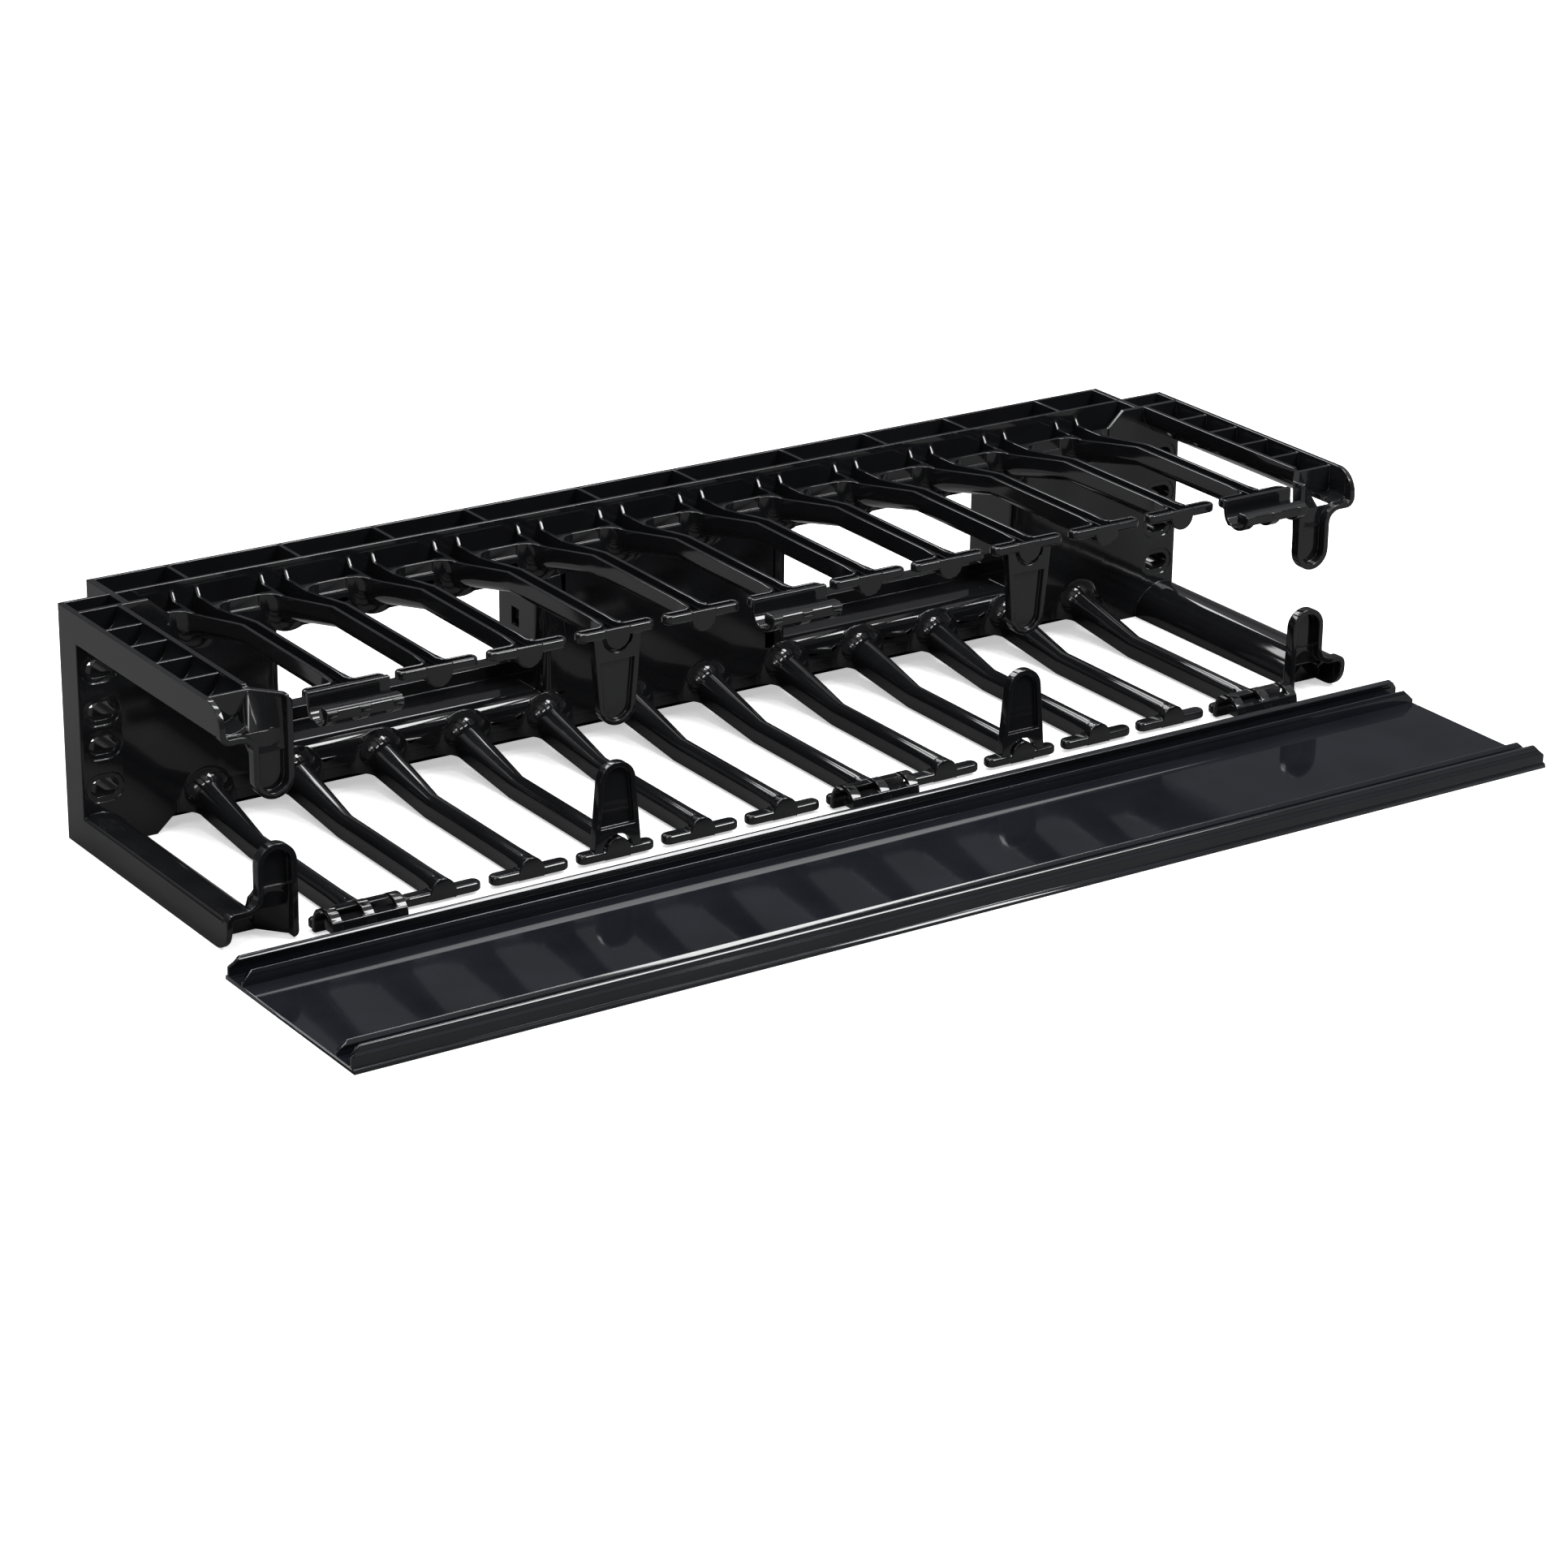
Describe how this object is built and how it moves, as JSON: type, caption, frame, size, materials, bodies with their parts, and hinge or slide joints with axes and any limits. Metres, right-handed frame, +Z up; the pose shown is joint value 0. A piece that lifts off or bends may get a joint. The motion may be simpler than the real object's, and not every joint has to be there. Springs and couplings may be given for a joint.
{
  "type": "horizontal cable manager",
  "caption": "Rack-mount cable manager with rows of T-headed fingers, end wings, pass-through windows and a clip-on cover shown taken off.",
  "frame": {"origin": "centre of the ears' slot pattern, in the plane of the ears' rear faces, which meet the rack", "axes": "+X to the right seen from the front, +Y to the back of the rack, +Z up"},
  "size_m": [0.5016, 0.2434, 0.0882],
  "materials": {
    "base_plastic": "glossy black moulded",
    "cover_plastic": "glossy black extruded"
  },
  "bodies": {
    "root": {"base": "base_plastic", "cover": "cover_plastic"}
  },
  "joints": []
}
